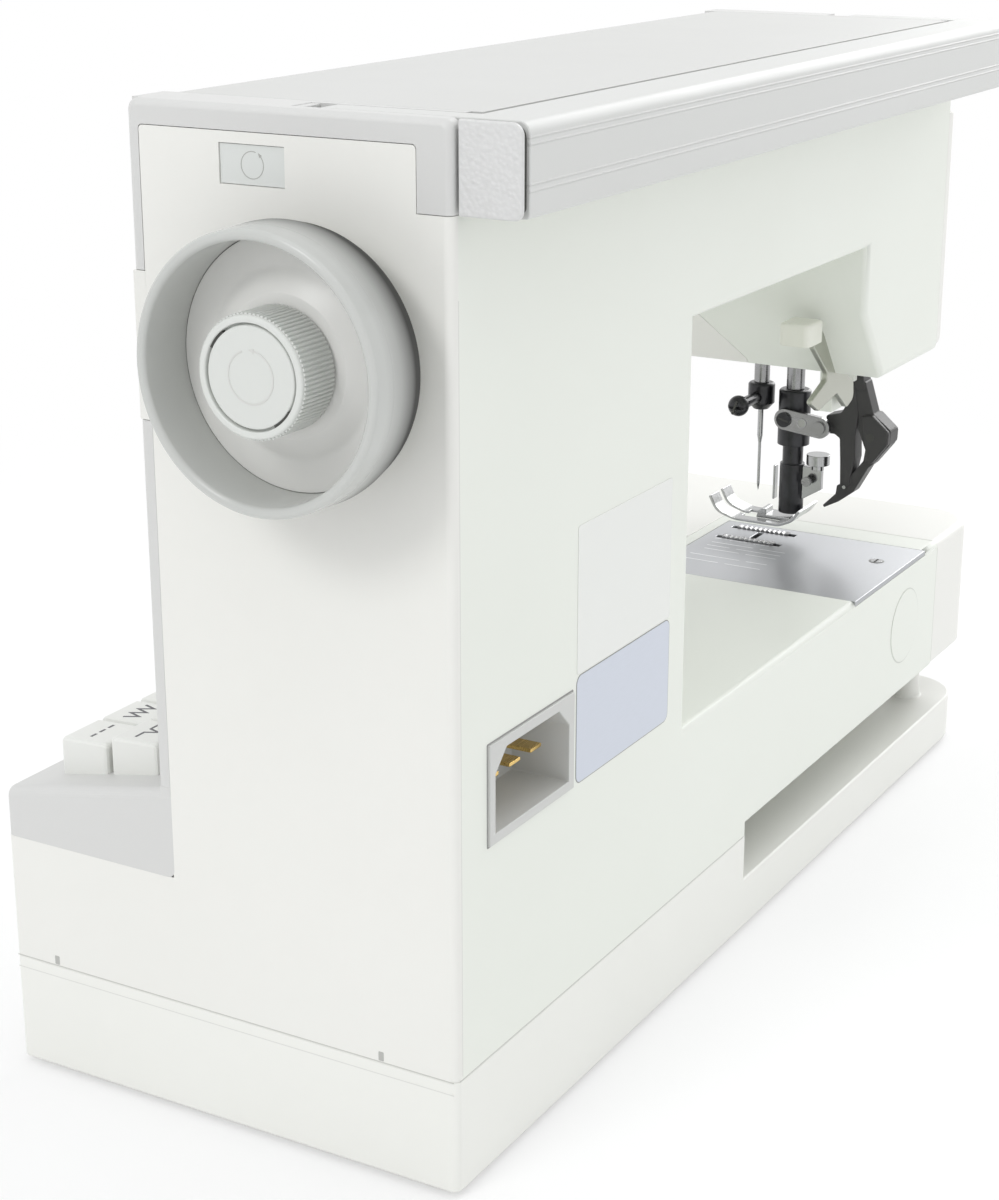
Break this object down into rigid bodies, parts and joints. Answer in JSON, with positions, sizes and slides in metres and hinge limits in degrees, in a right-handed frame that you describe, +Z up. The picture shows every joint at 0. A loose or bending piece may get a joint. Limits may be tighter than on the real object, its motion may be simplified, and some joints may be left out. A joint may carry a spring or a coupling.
{
  "type": "sewing machine",
  "caption": "Free-arm domestic sewing machine with dual feed, seen built from its handwheel end, with opening lid, carrying handle and working foot.",
  "frame": {"origin": "middle of the footprint, on the table", "axes": "+X towards the handwheel end, +Y towards the rear, +Z up"},
  "size_m": [0.446, 0.1732, 0.293],
  "materials": {
    "white_paint": "satin warm off-white paint",
    "white_plastic": "smooth warm off-white",
    "grey_plastic": "fine satin light grey",
    "gloss_grey": "polished light grey",
    "cream_plastic": "smooth cream",
    "black_steel": "satin black",
    "steel": "fine brushed",
    "chrome_plate": "polished",
    "bronze": "turned",
    "black_rubber": "matte",
    "black_plastic": "matte black"
  },
  "bodies": {
    "machine": {"base_tray": "white_plastic", "rubber_feet": "black_rubber", "main_casting": "white_paint", "end_cover": "white_plastic", "direction_plate": "grey_plastic", "front_cover": "white_plastic", "control_panel": "grey_plastic", "key_console": "grey_plastic", "head_cover": "white_plastic", "top_tray": "grey_plastic", "shaft_bushes": "bronze", "motor": "black_steel", "needle_plate": "steel", "power_inlet": "black_plastic", "inlet_pins": "bronze", "timing_belt": "black_rubber", "motor_belt": "black_rubber", "bobbin_case": "steel"},
    "lid": {"hinged_lid": "grey_plastic"},
    "handle": {"carrying_handle": "grey_plastic"},
    "drive": {"main_shaft": "steel", "handwheel": "gloss_grey", "handwheel_web": "gloss_grey", "timing_pulley": "steel", "drive_pulley": "steel", "crank": "steel"},
    "knob": {"release_knob": "gloss_grey"},
    "lower_drive": {"lower_shaft": "steel", "lower_pulley": "steel", "hook_gear": "steel"},
    "hook": {"rotary_hook": "steel"},
    "rotor": {"motor_pulley": "steel"},
    "cradle": {"needle_cradle": "steel"},
    "needle_group": {"needle_bar": "steel", "needle_clamp": "black_steel", "needle": "chrome_plate"},
    "take_up": {"take_up_lever": "steel"},
    "presser": {"presser_bar": "steel", "foot_shank": "black_steel", "foot_screw": "chrome_plate", "dual_feed_link": "chrome_plate"},
    "foot": {"presser_foot": "chrome_plate"},
    "dual_feed": {"dual_feed_arm": "black_steel"},
    "lifter": {"lifter_lever": "steel", "lifter_cap": "cream_plastic"},
    "feed": {"feed_dog": "steel"},
    "length_dial": {"stitch_length_dial": "gloss_grey"},
    "width_dial": {"stitch_width_dial": "gloss_grey"},
    "tension": {"tension_dial": "gloss_grey"},
    "reverse": {"reverse_key": "cream_plastic"},
    "winder": {"bobbin_winder": "grey_plastic"},
    "box": {"accessory_box": "white_plastic"},
    "key_1": {"stitch_key_1": "grey_plastic"},
    "key_2": {"stitch_key_2": "grey_plastic"},
    "key_3": {"stitch_key_3": "grey_plastic"},
    "key_4": {"stitch_key_4": "grey_plastic"},
    "key_5": {"stitch_key_5": "grey_plastic"},
    "key_6": {"stitch_key_6": "grey_plastic"}
  },
  "joints": [
    {"name": "lid_open", "type": "hinge", "parent": "machine", "child": "lid", "pos_m": [0, 0.06235, 0.2895], "axis": [-1, 0, 0], "range_deg": [0, 80]},
    {"name": "handle_lift", "type": "hinge", "parent": "machine", "child": "handle", "pos_m": [0, 0.02835, 0.2885], "axis": [1, 0, 0], "range_deg": [0, 90]},
    {"name": "handwheel_spin", "type": "hinge", "parent": "machine", "child": "drive", "pos_m": [0.192, 0.03025, 0.2328], "axis": [1, 0, 0], "continuous": true},
    {"name": "knob_release", "type": "hinge", "parent": "drive", "child": "knob", "pos_m": [0.217, 0.03025, 0.2328], "axis": [1, 0, 0], "range_deg": [0, 60]},
    {"name": "lower_shaft_spin", "type": "hinge", "parent": "machine", "child": "lower_drive", "pos_m": [0.172, 0.03025, 0.066], "axis": [1, 0, 0], "continuous": true},
    {"name": "hook_spin", "type": "hinge", "parent": "machine", "child": "hook", "pos_m": [-0.139, 0.00325, 0.066], "axis": [1, 0, 0], "continuous": true},
    {"name": "motor_spin", "type": "hinge", "parent": "machine", "child": "rotor", "pos_m": [0.154, 0.00635, 0.16], "axis": [1, 0, 0], "continuous": true},
    {"name": "needle_swing", "type": "hinge", "parent": "machine", "child": "cradle", "pos_m": [-0.148, 0.02435, 0.241], "axis": [0, 1, 0], "range_deg": [-1.3, 1.3]},
    {"name": "needle_stroke", "type": "slide", "parent": "cradle", "child": "needle_group", "axis": [0, 0, 1], "range_m": [-0.026, 0.003]},
    {"name": "take_up_swing", "type": "hinge", "parent": "machine", "child": "take_up", "pos_m": [-0.115, 0.00235, 0.226], "axis": [1, 0, 0], "range_deg": [0, 45]},
    {"name": "lifter_turn", "type": "hinge", "parent": "machine", "child": "lifter", "pos_m": [-0.12, 0.04835, 0.161], "axis": [0, 1, 0], "range_deg": [0, 65]},
    {"name": "presser_slide", "type": "slide", "parent": "machine", "child": "presser", "axis": [0, 0, 1], "range_m": [-0.0069, 0]},
    {"name": "foot_tilt", "type": "hinge", "parent": "presser", "child": "foot", "pos_m": [-0.148, 0.01735, 0.1025], "axis": [-1, 0, 0], "range_deg": [0, 10], "stiffness_Nm_per_rad": 0.05},
    {"name": "dual_feed_swing", "type": "hinge", "parent": "machine", "child": "dual_feed", "pos_m": [-0.148, 0.03885, 0.166], "axis": [1, 0, 0], "range_deg": [-1, 10]},
    {"name": "feed_stroke", "type": "slide", "parent": "machine", "child": "feed", "axis": [0, 1, 0], "range_m": [-0.0022, 0.0022]},
    {"name": "length_dial_turn", "type": "hinge", "parent": "machine", "child": "length_dial", "pos_m": [0.128, -0.02865, 0.181], "axis": [0, 1, 0], "range_deg": [-150, 150]},
    {"name": "width_dial_turn", "type": "hinge", "parent": "machine", "child": "width_dial", "pos_m": [0.128, -0.02865, 0.1365], "axis": [0, 1, 0], "range_deg": [-150, 150]},
    {"name": "tension_turn", "type": "hinge", "parent": "machine", "child": "tension", "pos_m": [-0.139, -0.02865, 0.224], "axis": [0, 1, 0], "range_deg": [-150, 150]},
    {"name": "reverse_press", "type": "slide", "parent": "machine", "child": "reverse", "axis": [0, 1, 0], "range_m": [0, 0.004], "stiffness_N_per_m": 400},
    {"name": "winder_spin", "type": "hinge", "parent": "machine", "child": "winder", "pos_m": [0.147, 0.02035, 0.2625], "axis": [0, 0, 1], "continuous": true},
    {"name": "box_slide", "type": "slide", "parent": "machine", "child": "box", "axis": [-1, 0, 0], "range_m": [0, 0.25]},
    {"name": "key_1_press", "type": "slide", "parent": "machine", "child": "key_1", "axis": [0, 0, 1], "range_m": [-0.003, 0], "stiffness_N_per_m": 500},
    {"name": "key_2_press", "type": "slide", "parent": "machine", "child": "key_2", "axis": [0, 0, 1], "range_m": [-0.003, 0], "stiffness_N_per_m": 500},
    {"name": "key_3_press", "type": "slide", "parent": "machine", "child": "key_3", "axis": [0, 0, 1], "range_m": [-0.003, 0], "stiffness_N_per_m": 500},
    {"name": "key_4_press", "type": "slide", "parent": "machine", "child": "key_4", "axis": [0, 0, 1], "range_m": [-0.003, 0], "stiffness_N_per_m": 500},
    {"name": "key_5_press", "type": "slide", "parent": "machine", "child": "key_5", "axis": [0, 0, 1], "range_m": [-0.003, 0], "stiffness_N_per_m": 500},
    {"name": "key_6_press", "type": "slide", "parent": "machine", "child": "key_6", "axis": [0, 0, 1], "range_m": [-0.003, 0], "stiffness_N_per_m": 500}
  ],
  "couplings": [
    {"joint": "lower_shaft_spin", "follows": "handwheel_spin", "ratio": 1},
    {"joint": "hook_spin", "follows": "handwheel_spin", "ratio": -2},
    {"joint": "motor_spin", "follows": "handwheel_spin", "ratio": 3.3333},
    {"joint": "lifter_turn", "follows": "presser_slide", "rad_per_m": -164.41}
  ]
}
